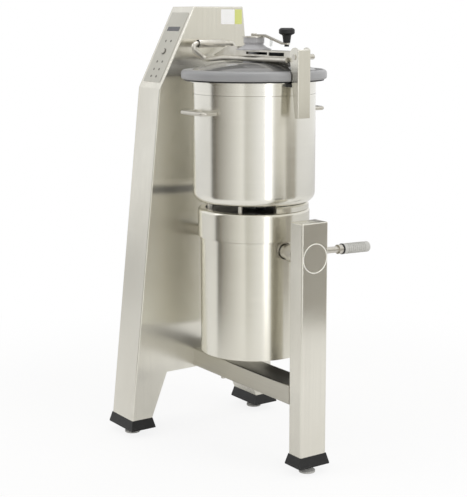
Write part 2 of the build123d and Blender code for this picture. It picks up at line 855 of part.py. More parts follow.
def bowl():
    """Spun bowl with its rounded foot, rolled rim flange and the tube over the spindle."""
    wall_in = bowl_inner_radius
    floor_z = bowl_bottom_z + bowl_wall
    inner_corner = bowl_corner_radius - bowl_wall
    flange_low = bowl_rim_z - bowl_flange_thickness
    tube_in = bowl_tube_radius - bowl_tube_wall
    foot_r = bowl_tube_radius + bowl_tube_foot_radius
    corner_r = bowl_radius - bowl_corner_radius
    parts = [
        Line((tube_in, bowl_bottom_z), (corner_r, bowl_bottom_z)),
        RadiusArc((corner_r, bowl_bottom_z), (bowl_radius, bowl_bottom_z + bowl_corner_radius),
                  -bowl_corner_radius),
        Polyline((bowl_radius, bowl_bottom_z + bowl_corner_radius), (bowl_radius, flange_low),
                 (bowl_flange_radius, flange_low), (bowl_flange_radius, bowl_rim_z),
                 (wall_in, bowl_rim_z), (wall_in, floor_z + inner_corner)),
        RadiusArc((wall_in, floor_z + inner_corner), (wall_in - inner_corner, floor_z), inner_corner),
        Line((wall_in - inner_corner, floor_z), (foot_r, floor_z)),
        RadiusArc((foot_r, floor_z), (bowl_tube_radius, floor_z + bowl_tube_foot_radius),
                  bowl_tube_foot_radius),
        Polyline((bowl_tube_radius, floor_z + bowl_tube_foot_radius), (bowl_tube_radius, bowl_tube_top_z),
                 (tube_in, bowl_tube_top_z), (tube_in, bowl_bottom_z)),
    ]
    body = revolve(Plane.XZ * make_face(Curve() + parts), Axis.Z)
    line = ring(bowl_radius + 1, bowl_radius - fill_line_depth, fill_line_z - fill_line_width / 2,
                fill_line_z + fill_line_width / 2)
    return body - line


def bowl_handle(side):
    """Bent rod handle welded to the bowl wall, with small weld feet."""
    half = bowl_handle_width / 2
    outer = side * (bowl_radius + bowl_handle_reach)
    wall_y = side * (math.sqrt(bowl_radius ** 2 - half ** 2) - 0.5)
    path = FilletPolyline((-half, wall_y, bowl_handle_z), (-half, outer, bowl_handle_z),
                          (half, outer, bowl_handle_z), (half, wall_y, bowl_handle_z), radius=14)
    section = Plane(origin=(-half, wall_y, bowl_handle_z), z_dir=(0, side, 0)) * Circle(bowl_handle_rod)
    rod = sweep(section, path=path)
    return rod - disc(bowl_radius + 0.05, bowl_handle_z - 40, bowl_handle_z + 40)


def hinge_bracket():
    """Tapered upright channel, open towards the bowl, that carries the lid's hinge pin."""
    top_x = bracket_outer_x - bracket_top_depth
    bottom_x = bracket_outer_x - bracket_bottom_depth
    half = bracket_width / 2
    inner_shoulder = (top_x, bracket_top_z - bracket_inner_drop)
    outer_shoulder = (bracket_outer_x, bracket_top_z - bracket_outer_drop)
    lines = Polyline(outer_shoulder, (bracket_outer_x, bracket_bottom_z), (bottom_x, bracket_bottom_z),
                     inner_shoulder)
    crown_x = (top_x + bracket_outer_x) / 2 + 4
    crown = ThreePointArc(inner_shoulder, (crown_x, bracket_top_z), outer_shoulder)
    body = front_extrusion(Curve() + [lines, crown], -half, half)
    inside = half - bracket_wall
    web_x = bracket_outer_x - bracket_wall
    body -= block(top_x - 1, web_x, -inside, inside, bracket_bottom_z + 8, bracket_top_z + 1)
    corners = [edge for edge in body.edges().filter_by(Axis.Z) if edge.center().X > bracket_outer_x - 0.1]
    body = fillet(corners, bracket_corner * 0.8)
    return body - bar_y(hinge_pin_radius + running_clearance, -half - 1, half + 1, hinge_x, hinge_z)


def hinge_block():
    """Black moulded block between the bowl's wall and the hinge bracket."""
    inside = bracket_width / 2 - bracket_wall - seat_clearance
    top = bowl_rim_z - bowl_flange_thickness - seat_clearance
    body = block(bowl_radius - mount_block_overlap, bracket_outer_x - bracket_wall, -inside, inside,
                 top - mount_block_height, top)
    body -= disc(bowl_radius + seat_clearance, top - mount_block_height - 1, top + 1)
    return body


def hinge_pin():
    half = bracket_width / 2
    pin = bar_y(hinge_pin_radius, -half, half, hinge_x, hinge_z)
    head = bar_y(hinge_pin_head_radius, half, half + hinge_pin_head, hinge_x, hinge_z)
    tail = bar_y(hinge_pin_head_radius, -half - 2.5, -half, hinge_x, hinge_z)
    return pin + fillet(head.edges().filter_by(GeomType.CIRCLE).sort_by(Axis.Y)[-1], 2) + tail


def cutter_hub():
    """Hub that covers the bowl's tube and takes the hexagon drive end."""
    bore = bowl_tube_radius + cutter_bore_clearance
    bore_top = hex_bottom_z + seat_clearance
    base_flare = bowl_tube_radius + bowl_tube_foot_radius + cutter_bore_clearance
    outline = Polyline((bore, cutter_bottom_z + 12), (base_flare - 8, cutter_bottom_z),
                       (cutter_base_radius, cutter_bottom_z),
                       (cutter_base_radius, cutter_bottom_z + cutter_shoulder), (cutter_top_radius, cutter_top_z),
                       (0, cutter_top_z), (0, bore_top), (bore, bore_top), close=True)
    body = turned(outline)
    socket = RegularPolygon(hex_flats / 2 + socket_clearance, 6, major_radius=False)
    return body - Pos(0, 0, bore_top - 1) * extrude(socket, hex_top_z + 1.5 - bore_top)


def cutter_cap():
    """Rounded hand nut on top of the cutter."""
    cap = disc(cutter_cap_radius, cutter_top_z, cutter_top_z + cutter_cap_height)
    cap = fillet(cap.edges().sort_by(Axis.Z)[-1], 10)
    for i in range(6):
        flute = disc(6, cutter_top_z - 1, cutter_top_z + 2 * cutter_cap_height)
        cap -= Rot(0, 0, i * 60) * Pos(cutter_cap_radius + 3, 0, 0) * flute
    return cap


def cutter_blade(index):
    """Sickle blade with a swept leading edge, ground to a bevel."""
    tip = blade_tip_radius
    root = cutter_base_radius - 3
    tip_x = tip * math.cos(math.radians(12))
    tip_y = tip * math.sin(math.radians(12))
    lead_mid = (0.62 * tip, -0.3 * tip)
    trail_mid = (0.6 * tip, -0.05 * tip)
    outline = [
        ThreePointArc((root * 0.72, -root * 0.62), lead_mid, (tip_x, tip_y)),
        Line((tip_x, tip_y), (tip_x - 9, tip_y + 9)),
        ThreePointArc((tip_x - 9, tip_y + 9), trail_mid, (root * 0.6, root * 0.72)),
        Line((root * 0.6, root * 0.72), (root * 0.72, -root * 0.62)),
    ]
    z = cutter_bottom_z + blade_first_z + index * blade_step_z
    blade = Pos(0, 0, z) * extrude(make_face(Curve() + outline), blade_thickness)
    top = blade.faces().sort_by(Axis.Z)[-1]
    leading = sorted(top.edges(), key=lambda edge: edge.center().Y)[0]
    blade = chamfer(leading, blade_bevel * 0.9, blade_bevel * 2.2)
    turn = index * 360 / blade_count
    return Rot(0, 0, turn) * (blade - disc(cutter_base_radius + 0.02, z - 1, z + blade_thickness + 1))


def lid_rim():
    """Moulded lid rim, rounded outside, notched where the hinge bracket stands."""
    low = lid_rim_bottom_z
    top = lid_rim_top_z
    shape = FilletPolyline((lid_rim_inner_radius, low), (lid_rim_radius, low), (lid_rim_radius, top),
                           (lid_rim_inner_radius, top), radius=(0, lid_rim_rounding * 0.6, lid_rim_rounding, 0),
                           close=True)
    body = revolve(Plane.XZ * make_face(shape), Axis.Z)
    body -= ring(dome_outer_radius + seat_clearance, lid_rim_inner_radius - 1, top - dome_wall, top + 1)
    notch_x = bracket_inner_x(top) - notch_clearance
    return body - block(notch_x, lid_rim_radius + 10, -notch_half_width, notch_half_width, low - 1, top + 1)


def bracket_inner_x(z):
    """Open edge of the tapered bracket at a height."""
    share = (z - bracket_bottom_z) / (bracket_top_z - bracket_inner_drop - bracket_bottom_z)
    depth = bracket_bottom_depth + share * (bracket_top_depth - bracket_bottom_depth)
    return bracket_outer_x - depth


def lid_dome():
    """See-through dome, arched up from its rim and flat under the hub."""
    low = lid_rim_top_z
    shoulder_z = low + dome_shoulder_rise
    hole = hub_stem_radius + seat_clearance
    under = dome_wall
    inner = dome_outer_radius - 2 * dome_wall
    profile = [
        ThreePointArc((dome_outer_radius, low), (dome_shoulder_radius, shoulder_z), (dome_crown_radius, dome_top_z)),
        Polyline((dome_crown_radius, dome_top_z), (hole, dome_top_z), (hole, dome_top_z - under),
                 (dome_crown_radius, dome_top_z - under)),
        ThreePointArc((dome_crown_radius, dome_top_z - under), (dome_shoulder_radius - 1, shoulder_z - under),
                      (inner, low - under)),
        Polyline((inner, low - under), (dome_outer_radius, low - under), (dome_outer_radius, low)),
    ]
    return revolve(Plane.XZ * make_face(Curve() + profile), Axis.Z)


def lid_seal():
    body = ring(seal_outer_radius, seal_inner_radius, bowl_rim_z + seat_clearance, lid_rim_bottom_z)
    notch_x = bracket_inner_x(lid_rim_bottom_z) - notch_clearance - 6
    return body - block(notch_x, lid_rim_radius, -notch_half_width, notch_half_width,
                        bowl_rim_z - 1, lid_rim_bottom_z + 1)


def crank_hub():
    """Moulded waisted hub on the arm; its stem reaches down and clamps the dome."""
    lip_z = arm_top_z + hub_base_lip
    waist = [
        Line((hub_base_radius, arm_top_z), (hub_base_radius, lip_z)),
        ThreePointArc((hub_base_radius, lip_z), (hub_neck_radius + 10, hub_neck_z - 8),
                      (hub_neck_radius, hub_neck_z)),
        Polyline((hub_neck_radius, hub_neck_z), (hub_top_radius, hub_top_z - hub_collar_height), (hub_top_radius, hub_top_z),
                 (0, hub_top_z), (0, dome_top_z - 9), (hub_stem_radius, dome_top_z - 9),
                 (hub_stem_radius, dome_top_z), (hub_flange_radius, dome_top_z),
                 (hub_flange_radius, dome_top_z + hub_flange_thickness),
                 (hub_stem_radius, dome_top_z + hub_flange_thickness), (hub_stem_radius, arm_top_z),
                 (hub_base_radius, arm_top_z)),
    ]
    body = revolve(Plane.XZ * make_face(Curve() + waist), Axis.Z)
    return body - disc(crank_shaft_radius + running_clearance, dome_top_z - 10, hub_top_z + 1)


def hub_plate():
    plate = ring(hub_plate_radius, crank_shaft_radius + running_clearance, hub_top_z,
                 hub_top_z + hub_plate_thickness)
    return fillet(plate.edges().sort_by(Axis.Z)[-2:-1], 1.2)


def crank_path():
    turn = math.radians(crank_angle)
    return math.cos(turn), math.sin(turn)


def crank_bottom_z():
    return hub_top_z + hub_plate_thickness + crank_lift


def crank_arm():
    """Cranked flat bar from the shaft down to the knob."""
    z0 = crank_bottom_z()
    z1 = z0 - crank_drop
    flat_x = crank_length - 14
    end_x = crank_length + 9
    top = crank_thickness
    side = Polyline((-crank_width / 2, z0), (crank_level_length, z0), (flat_x, z1), (end_x, z1),
                    (end_x, z1 + top), (flat_x + 1, z1 + top), (crank_level_length + 1, z0 + top),
                    (-crank_width / 2, z0 + top), close=True)
    bar = front_extrusion(side, -crank_width / 2, crank_width / 2)
    bar = fillet(bar.edges().filter_by(Axis.Z), crank_width * 0.3)
    bar -= disc(crank_stub_radius + running_clearance, z0 - 1, z0 + top + 1)
    bar -= Pos(crank_length, 0, 0) * disc(knob_pin_radius + 2 * running_clearance, z1 - 1, z1 + top + 1)
    return Rot(0, 0, crank_angle) * bar


def crank_shaft():
    """Upright shaft that joins the crank to the wiper, with a domed nut on top."""
    z0 = crank_bottom_z()
    nut_low = z0 + crank_thickness + running_clearance
    shaft = disc(crank_shaft_radius, dome_top_z - dome_wall - 20, z0 - running_clearance)
    nut = disc(crank_stub_radius + 3, nut_low, nut_low + 3)
    nut = fillet(nut.edges().sort_by(Axis.Z)[-1], 1.5)
    return shaft + disc(crank_stub_radius, z0 - 1, nut_low + 1) + nut


def crank_tab():
    """Small hanging tab halfway along the crank."""
    slope = crank_drop / (crank_length - 14 - crank_level_length)
    outer = tab_place + tab_thickness
    top = crank_bottom_z() - (outer - crank_level_length) * slope - running_clearance
    low = arm_ramp_z + tab_clearance
    tab = block(tab_place, outer, -tab_width / 2, tab_width / 2, low, top)
    tab = fillet(tab.edges().filter_by(Axis.X).sort_by(Axis.Z)[:2], tab_width * 0.35)
    return Rot(0, 0, crank_angle) * tab


def wiper_blade():
    """Two-armed blade that follows the underside of the dome."""
    under = dome_top_z - dome_wall - wiper_gap
    shoulder_z = lid_rim_top_z + dome_shoulder_rise - dome_wall - wiper_gap
    edge = [(hub_stem_radius + 3, under), (dome_crown_radius - 2, under), (dome_shoulder_radius - 4, shoulder_z),
            (wiper_reach, shoulder_z - 3.5)]
    lower = [(r, z - wiper_depth) for r, z in reversed(edge[1:])]
    core = (crank_shaft_radius + 2, under - wiper_depth)
    top_core = (crank_shaft_radius + 2, under - 6)
    half = wiper_thickness / 2
    outline = Polyline(*edge, *lower, core, top_core, (hub_stem_radius + 3, under - 6), close=True)
    blade = front_extrusion(outline, -half, half)
    boss = ring(crank_shaft_radius + 6, crank_shaft_radius + running_clearance, under - wiper_depth,
                under - 6)
    return blade + Rot(0, 0, 180) * blade + boss


def crank_knob():
    """Mushroom knob on its pin at the end of the crank."""
    turn = math.radians(crank_angle)
    low = crank_bottom_z() - crank_drop + crank_thickness + seat_clearance
    top = low + knob_height
    waist_z = top - knob_cap_height
    profile = FilletPolyline((0, low), (knob_foot_radius, low), (knob_waist_radius, waist_z - 2),
                             (knob_radius, waist_z + 3), (knob_radius, top - 5), (knob_radius - 6, top), (0, top),
                             radius=(0, 1, 4, 5, 4, 5, 0), close=True)
    body = turned(profile)
    pin_low = low - seat_clearance - crank_thickness
    body += disc(knob_pin_radius, pin_low - 1, low + 1)
    body += disc(knob_pin_radius + 2, pin_low - 6, pin_low - seat_clearance)
    return Pos(crank_length * math.cos(turn), crank_length * math.sin(turn), 0) * body


def lid_arm():
    """Folded channel from the ramped nose, under the hub, to the hinge eye, slotted along its sides."""
    half = arm_half_width
    eye = arm_eye_radius
    outline = Polyline((arm_nose_x, arm_bottom_z), (arm_nose_x, arm_nose_z), (arm_ramp_x, arm_ramp_z),
                       (arm_shelf_x, arm_ramp_z), (arm_shelf_x, arm_top_z), (arm_step_x, arm_top_z),
                       (arm_step_x + 12, hinge_z + eye), (hinge_x, hinge_z + eye), (hinge_x, hinge_z - eye),
                       (arm_step_x, arm_bottom_z), close=True)
    body = front_extrusion(outline, -half, half)
    body += bar_y(eye, -half, half, hinge_x, hinge_z)
    inside = half - arm_wall
    body -= block(arm_shelf_x, arm_step_x - 4, -inside, inside, arm_bottom_z - 1, arm_top_z - arm_wall)
    nose = Polyline((arm_nose_x + arm_wall, arm_bottom_z - 1), (arm_nose_x + arm_wall, arm_nose_z - arm_wall),
                    (arm_ramp_x, arm_ramp_z - arm_wall), (arm_shelf_x - arm_wall, arm_ramp_z - arm_wall),
                    (arm_shelf_x - arm_wall, arm_top_z - arm_wall), (arm_shelf_x + 1, arm_top_z - arm_wall),
                    (arm_shelf_x + 1, arm_bottom_z - 1), close=True)
    body -= front_extrusion(nose, -inside, inside)
    body -= disc(hub_stem_radius + seat_clearance, arm_bottom_z - 1, arm_top_z + 1)
    slot_top = arm_top_z - arm_wall - 2
    for x0, x1, height in arm_slots:
        body -= block(x0, x1, -half - 1, half + 1, slot_top - height, slot_top)
    return body - bar_y(hinge_pin_radius + running_clearance, -half - 1, half + 1, hinge_x, hinge_z)


def handle_path():
    """Centre line of the stirrup handle: along the arm, out and up, then across under the grip."""
    y = arm_half_width + handle_tube_radius + seat_clearance
    half = [
        (handle_end_x, -y, handle_z),
        (arm_ramp_x, -y, handle_z),
        (handle_left_x, -y - handle_splay, handle_left_z),
        (handle_grip_x + 2, -handle_knee_y, handle_knee_z),
        (handle_grip_x, -handle_flare_y, handle_grip_z),
    ]
    back = [(px, -py, pz) for px, py, pz in reversed(half)]
    turn = handle_bend_radius
    radii = (handle_sweep_radius, handle_foot_radius, turn * 0.8, turn)
    return FilletPolyline(*half, *back, radius=(*radii, *reversed(radii)))


def lid_handle():
    path = handle_path()
    section = Plane(origin=path @ 0, z_dir=path % 0) * Circle(handle_tube_radius)
    return sweep(section, path=path)


def handle_grip():
    """Metal sleeve over the cross part of the handle."""
    half = grip_length / 2
    y0 = grip_shift - half
    y1 = grip_shift + half
    sleeve = bar_y(grip_radius, y0, y1, handle_grip_x, handle_grip_z)
    sleeve = fillet(sleeve.edges().filter_by(GeomType.CIRCLE), 1.5)
    return sleeve - bar_y(handle_tube_radius + 0.1, y0 - 1, y1 + 1, handle_grip_x, handle_grip_z)


def build_all():
    nodes = {
        "column": column(),
        "rear_cover": rear_cover(),
        "cover_screws": cover_screws(),
        "control_panel": control_panel(),
        "display_window": display_window(),
        "keypad": keypad(),
        "button_bezel": button_bezel(),
        "start_button": start_button(),
        "control_board": control_board(),
        "inverter": inverter(),
        "cable_gland": cable_gland(),
        "crossbeam": crossbeam(),
        "bonding_bolt": bonding_bolt(),
        "post": post(),
        "post_cap": post_cap(),
        "levelling_studs": levelling_studs(),
        "levelling_pads": levelling_pads(),
        "post_bearing": post_bearing(),
        "column_bearing": column_bearing(),
        "motor_housing": motor_housing(),
        "motor_band": motor_band(),
        "motor_top_plate": motor_top_plate(),
        "motor_base_plate": motor_base_plate(),
        "motor_frame": motor_frame(),
        "lower_shield": lower_shield(),
        "stator": stator(),
        "shaft_bearings": shaft_bearings(),
        "shaft_seal": shaft_seal(),
        "column_trunnion": column_trunnion(),
        "post_trunnion": post_trunnion(),
        "tilt_lever": tilt_lever(),
        "lever_grip": lever_grip(),
        "bowl_lugs": bowl_lugs(),
        "bowl_rest": bowl_rest(),
        "drive_shaft": drive_shaft(),
        "motor_rotor": motor_rotor(),
        "cooling_fan": cooling_fan(),
        "bowl": bowl(),
        "bowl_handles": Compound(children=[bowl_handle(-1), bowl_handle(1)]),
        "hinge_bracket": hinge_bracket(),
        "hinge_block": hinge_block(),
        "hinge_pin": hinge_pin(),
        "cutter_hub": cutter_hub(),
        "cutter_cap": cutter_cap(),
        "lid_rim": lid_rim(),
        "lid_dome": lid_dome(),
        "lid_seal": lid_seal(),
        "lid_arm": lid_arm(),
        "lid_handle": lid_handle(),
        "handle_grip": handle_grip(),
        "crank_hub": crank_hub(),
        "hub_plate": hub_plate(),
        "crank_arm": crank_arm(),
        "crank_shaft": crank_shaft(),
        "crank_tab": crank_tab(),
        "wiper_blade": wiper_blade(),
        "crank_knob": crank_knob(),
        "cutter_blades": Compound(children=[cutter_blade(index) for index in range(blade_count)]),
        "column_feet": Compound(children=[foot(*footprint) for footprint in foot_footprints()[:2]]),
        "post_foot": foot(*foot_footprints()[2]),
    }
    return nodes


if __name__ == "__main__":
    os.makedirs("parts", exist_ok=True)
    shift = Pos(-origin_x, -origin_y, 0)
    for name, shape in build_all().items():
        export_step(shift * shape, "parts/" + name + ".step")
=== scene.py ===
import math

import bmesh
import bpy
from mathutils import Matrix, Vector


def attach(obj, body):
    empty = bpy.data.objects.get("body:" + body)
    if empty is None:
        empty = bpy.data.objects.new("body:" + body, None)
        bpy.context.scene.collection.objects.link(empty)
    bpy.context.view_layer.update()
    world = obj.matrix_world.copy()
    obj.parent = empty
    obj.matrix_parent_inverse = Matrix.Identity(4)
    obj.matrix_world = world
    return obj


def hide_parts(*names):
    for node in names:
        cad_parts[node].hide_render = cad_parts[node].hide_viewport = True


# Floor-standing tilting cutter mixer: looks, small fittings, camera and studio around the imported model.
# The fittings' lengths are in millimetres, measured from the bowl's axis at floor level. MM turns them
# into metres. The studio's lengths are in metres.

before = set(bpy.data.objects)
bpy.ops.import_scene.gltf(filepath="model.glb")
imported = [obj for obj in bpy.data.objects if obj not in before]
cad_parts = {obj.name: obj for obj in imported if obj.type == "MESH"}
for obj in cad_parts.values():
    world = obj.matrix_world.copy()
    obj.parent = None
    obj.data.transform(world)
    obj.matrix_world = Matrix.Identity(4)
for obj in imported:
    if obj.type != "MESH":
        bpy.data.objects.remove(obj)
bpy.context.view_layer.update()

MM = 0.001
bowl_axis = Vector((50.0, 1.0, 0.0))
ring_steps = 96


# Colours and nodes

def linear(code):
    """sRGB hex to the linear colour that a shader socket takes."""
    parts = [int(code[i:i + 2], 16) / 255 for i in (1, 3, 5)]
    return tuple(c / 12.92 if c <= 0.04045 else ((c + 0.055) / 1.055) ** 2.4 for c in parts) + (1.0,)


def add(tree, kind, links=None, **settings):
    """A node with its settings; links give a socket of it a value or another node's output."""
    node = tree.nodes.new(kind)
    for key, value in settings.items():
        setattr(node, key, value)
    for socket, source in (links or {}).items():
        if isinstance(source, bpy.types.NodeSocket):
            tree.links.new(source, node.inputs[socket])
        else:
            node.inputs[socket].default_value = source
    return node


def new_material(name):
    """An empty material and its node tree."""
    material = bpy.data.materials.new(name)
    material.use_nodes = True
    tree = material.node_tree
    tree.nodes.clear()
    return material, tree


# Materials

belly_mm = 0.2


def linished_sheet(name, tone, dull_tone, grain_mm, rough, stretch):
    """304 stainless sheet, belt-linished along its length and folded.

    The eye sees a warm pale grey that smears what it mirrors across the grain, with long faint
    scratches, slightly cloudy where hands and cloths have been. The real grain is about 0.1 mm
    wide; grain_mm draws it coarser so that it shows, with a long side along the belt's run. The
    sheet also bellies by a fifth of a millimetre, which bends what it mirrors.
    """
    material, tree = new_material(name)
    coords = add(tree, "ShaderNodeTexCoord")
    grain_place = add(tree, "ShaderNodeMapping", {"Vector": coords.outputs["Object"],
                                                  "Scale": [1 / (mm * MM) for mm in grain_mm]})
    grain = add(tree, "ShaderNodeTexNoise", {"Vector": grain_place.outputs[0], "Scale": 1.0, "Detail": 2.0})
    cloud = add(tree, "ShaderNodeTexNoise", {"Vector": coords.outputs["Object"], "Scale": 2.6, "Detail": 4.0})
    rubbed = add(tree, "ShaderNodeTexNoise", {"Vector": coords.outputs["Object"], "Scale": 17.0,
                                              "Detail": 3.0})
    tint = add(tree, "ShaderNodeMapRange", {"Value": cloud.outputs["Fac"], "From Min": 0.35, "From Max": 0.7})
    body_tone = add(tree, "ShaderNodeMix", {"Factor": tint.outputs[0], 6: linear(tone), 7: linear(dull_tone)},
                    data_type="RGBA")
    scratch = add(tree, "ShaderNodeMapRange", {"Value": grain.outputs["Fac"], "From Min": 0.25,
                                               "From Max": 0.75, "To Min": 0.97, "To Max": 1.03})
    colour = add(tree, "ShaderNodeMix", {"Factor": 1.0, 6: body_tone.outputs[2], 7: scratch.outputs[0]},
                 data_type="RGBA", blend_type="MULTIPLY")
    dulled = add(tree, "ShaderNodeMapRange", {"Value": rubbed.outputs["Fac"], "From Min": 0.35,
                                              "From Max": 0.75, "To Min": rough - 0.02,
                                              "To Max": rough + 0.01})
    bump = add(tree, "ShaderNodeBump", {"Height": cloud.outputs["Fac"], "Distance": belly_mm * MM})
    tangent = add(tree, "ShaderNodeTangent", direction_type="RADIAL", axis="Z")
    shader = add(tree, "ShaderNodeBsdfPrincipled", {
        "Base Color": colour.outputs[2], "Metallic": 1.0, "Roughness": dulled.outputs[0],
        "Normal": bump.outputs[0], "Tangent": tangent.outputs[0], "Anisotropic": stretch})
    add(tree, "ShaderNodeOutputMaterial", {"Surface": shader.outputs[0]})
    return material


# Darker 2 mm lines round the bowl and the motor jacket: the joint line there, and painted shadow under the
# edge of the band above it.
seam_and_shadow_half_mm = 1.0
seam_and_painted_shadow_colour = "#c6c3ba"


def spun_steel(name, tone, dull_tone, line_mm, rough, stretch, seam_and_shadow_heights_mm):
    """304 stainless vessel wall, rolled or spun, then polished round and round on a lathe.

    The eye sees bright and dark upright bands that run its whole height, and very fine rings;
    line_mm is the rings' spacing, drawn coarser than the real 0.2 mm. The last argument gives the heights of
    joints and pressed lines that run all round, darkened 2 mm wide so that they show; each dark line also
    paints the shadow under the edge of the band above it.
    """
    material, tree = new_material(name)
    coords = add(tree, "ShaderNodeTexCoord")
    ring_place = add(tree, "ShaderNodeMapping", {"Vector": coords.outputs["Object"],
                                                 "Location": bowl_axis * -MM,
                                                 "Scale": (1.6, 1.6, 1 / (line_mm * MM))})
    rings = add(tree, "ShaderNodeTexNoise", {"Vector": ring_place.outputs[0], "Scale": 1.0, "Detail": 2.0})
    cloud = add(tree, "ShaderNodeTexNoise", {"Vector": coords.outputs["Object"], "Scale": 3.4, "Detail": 4.0})
    tint = add(tree, "ShaderNodeMapRange", {"Value": cloud.outputs["Fac"], "From Min": 0.35, "From Max": 0.7})
    body_tone = add(tree, "ShaderNodeMix", {"Factor": tint.outputs[0], 6: linear(tone), 7: linear(dull_tone)},
                    data_type="RGBA")
    line = add(tree, "ShaderNodeMapRange", {"Value": rings.outputs["Fac"], "From Min": 0.25, "From Max": 0.75,
                                            "To Min": 0.97, "To Max": 1.02})
    colour = add(tree, "ShaderNodeMix", {"Factor": 1.0, 6: body_tone.outputs[2], 7: line.outputs[0]},
                 data_type="RGBA", blend_type="MULTIPLY")
    dulled = add(tree, "ShaderNodeMapRange", {"Value": rings.outputs["Fac"], "From Min": 0.25,
                                              "From Max": 0.75, "To Min": rough - 0.02,
                                              "To Max": rough + 0.03})
    parts = add(tree, "ShaderNodeSeparateXYZ", {"Vector": coords.outputs["Object"]})
    seam_and_shadow_tone = colour.outputs[2]
    # Each height gets a darker line, for the joint and for the painted shadow under the band's edge.
    for height in seam_and_shadow_heights_mm:
        near = add(tree, "ShaderNodeMath", {0: parts.outputs["Z"], 1: height * MM, 2: seam_and_shadow_half_mm * MM},
                   operation="COMPARE")
        darker = add(tree, "ShaderNodeMix", {"Factor": near.outputs[0], 6: seam_and_shadow_tone,
                                             7: linear(seam_and_painted_shadow_colour)}, data_type="RGBA")
        seam_and_shadow_tone = darker.outputs[2]
    tangent = add(tree, "ShaderNodeTangent", direction_type="RADIAL", axis="Z")
    shader = add(tree, "ShaderNodeBsdfPrincipled", {
        "Base Color": seam_and_shadow_tone, "Metallic": 1.0, "Roughness": dulled.outputs[0],
        "Tangent": tangent.outputs[0], "Anisotropic": stretch, "Anisotropic Rotation": 0.25})
    add(tree, "ShaderNodeOutputMaterial", {"Surface": shader.outputs[0]})
    return material


def satin_steel(name, tone, dull_tone, rough, wear_mm):
    """Drawn tube or rod and machined stainless fittings, rubbed to an even satin.

    The eye sees soft highlights along each bend, a little duller in patches from handling;
    wear_mm is the size of those patches.
    """
    material, tree = new_material(name)
    coords = add(tree, "ShaderNodeTexCoord")
    wear = add(tree, "ShaderNodeTexNoise", {"Vector": coords.outputs["Object"], "Scale": 1 / (wear_mm * MM),
                                            "Detail": 3.0})
    share = add(tree, "ShaderNodeMapRange", {"Value": wear.outputs["Fac"], "From Min": 0.35, "From Max": 0.7})
    colour = add(tree, "ShaderNodeMix", {"Factor": share.outputs[0], 6: linear(tone), 7: linear(dull_tone)},
                 data_type="RGBA")
    dulled = add(tree, "ShaderNodeMapRange", {"Value": share.outputs[0], "To Min": rough,
                                              "To Max": rough + 0.07})
    shader = add(tree, "ShaderNodeBsdfPrincipled", {
        "Base Color": colour.outputs[2], "Metallic": 1.0, "Roughness": dulled.outputs[0]})
    add(tree, "ShaderNodeOutputMaterial", {"Surface": shader.outputs[0]})
    return material


grain_depth_mm = 0.02
coat_roughness = 0.15


def moulded_plastic(name, tone, light_tone, rough, grain_mm, coat=0.0):
    """Injection-moulded plastic or rubber from a spark-eroded mould.

    The eye sees an even colour with a broad soft sheen, broken by a pebbled grain; grain_mm is
    its size, a few times the real 0.2 mm.
    """
    material, tree = new_material(name)
    coords = add(tree, "ShaderNodeTexCoord")
    grain = add(tree, "ShaderNodeTexNoise", {"Vector": coords.outputs["Object"], "Scale": 1 / (grain_mm * MM),
                                             "Detail": 3.0})
    cloud = add(tree, "ShaderNodeTexNoise", {"Vector": coords.outputs["Object"], "Scale": 9.0, "Detail": 3.0})
    share = add(tree, "ShaderNodeMapRange", {"Value": cloud.outputs["Fac"], "From Min": 0.35,
                                             "From Max": 0.7})
    colour = add(tree, "ShaderNodeMix", {"Factor": share.outputs[0], 6: linear(tone), 7: linear(light_tone)},
                 data_type="RGBA")
    dulled = add(tree, "ShaderNodeMapRange", {"Value": grain.outputs["Fac"], "From Min": 0.3, "From Max": 0.7,
                                              "To Min": rough - 0.05, "To Max": rough + 0.05})
    bump = add(tree, "ShaderNodeBump", {"Height": grain.outputs["Fac"], "Distance": grain_depth_mm * MM})
    shader = add(tree, "ShaderNodeBsdfPrincipled", {
        "Base Color": colour.outputs[2], "Roughness": dulled.outputs[0], "Normal": bump.outputs[0],
        "Coat Weight": coat, "Coat Roughness": coat_roughness})
    add(tree, "ShaderNodeOutputMaterial", {"Surface": shader.outputs[0]})
    return material


polycarbonate_ior = 1.58


def clear_plastic(name, tone, dull_tone, through, rough, haze_mm):
    """Moulded polycarbonate or acrylic sheet.

    The eye sees through it, dimmed and a little grey, with a haze of rubbed patches of haze_mm.
    """
    material, tree = new_material(name)
    coords = add(tree, "ShaderNodeTexCoord")
    haze = add(tree, "ShaderNodeTexNoise", {"Vector": coords.outputs["Object"], "Scale": 1 / (haze_mm * MM),
                                            "Detail": 3.0})
    share = add(tree, "ShaderNodeMapRange", {"Value": haze.outputs["Fac"], "From Min": 0.35, "From Max": 0.7})
    colour = add(tree, "ShaderNodeMix", {"Factor": share.outputs[0], 6: linear(tone), 7: linear(dull_tone)},
                 data_type="RGBA")
    dulled = add(tree, "ShaderNodeMapRange", {"Value": share.outputs[0], "To Min": rough,
                                              "To Max": rough + 0.05})
    shader = add(tree, "ShaderNodeBsdfPrincipled", {
        "Base Color": colour.outputs[2], "Roughness": dulled.outputs[0], "IOR": polycarbonate_ior,
        "Transmission Weight": through})
    add(tree, "ShaderNodeOutputMaterial", {"Surface": shader.outputs[0]})
    return material


pebble_depth_mm = 0.1


